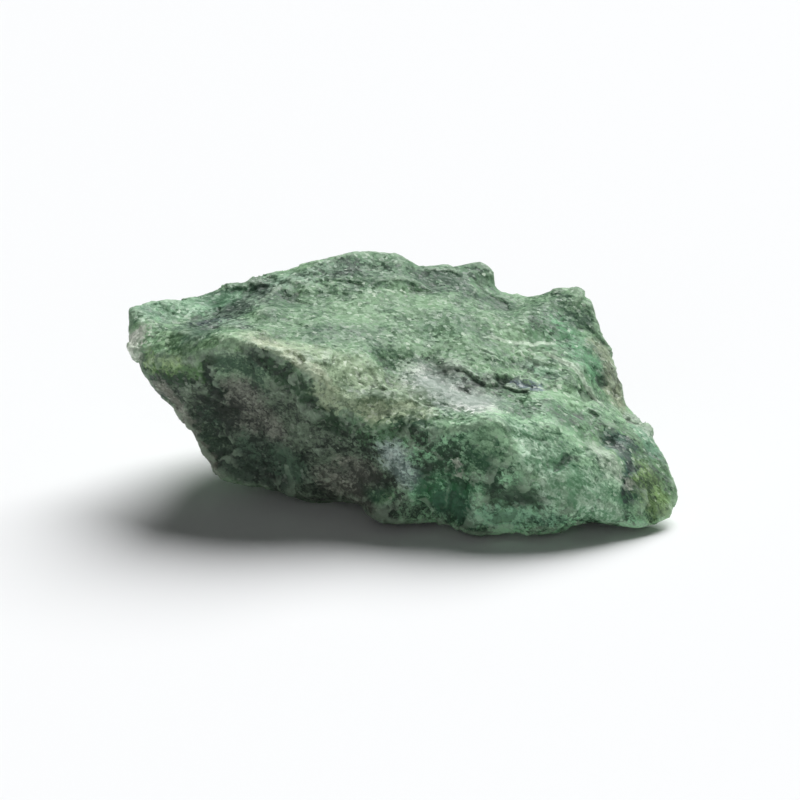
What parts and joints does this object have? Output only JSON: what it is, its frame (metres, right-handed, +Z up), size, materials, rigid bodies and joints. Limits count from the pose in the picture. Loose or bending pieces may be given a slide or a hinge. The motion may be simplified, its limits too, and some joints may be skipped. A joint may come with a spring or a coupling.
{
  "type": "raw quartz with diopside stone",
  "caption": "Rough angular stone of green diopside-rich quartz, with a sharp overhanging tip, a low blunt nose, a long front ridge and a flat resting side.",
  "frame": {"origin": "under the middle of the stone's box, on the plane it rests on", "axes": "+X from the sharp tip to the blunt nose, +Y to the back, +Z up"},
  "size_m": [0.0556, 0.0358, 0.0216],
  "materials": {
    "quartz_diopside": "broken, sugary grain"
  },
  "bodies": {
    "root": {"stone": "quartz_diopside"}
  },
  "joints": []
}
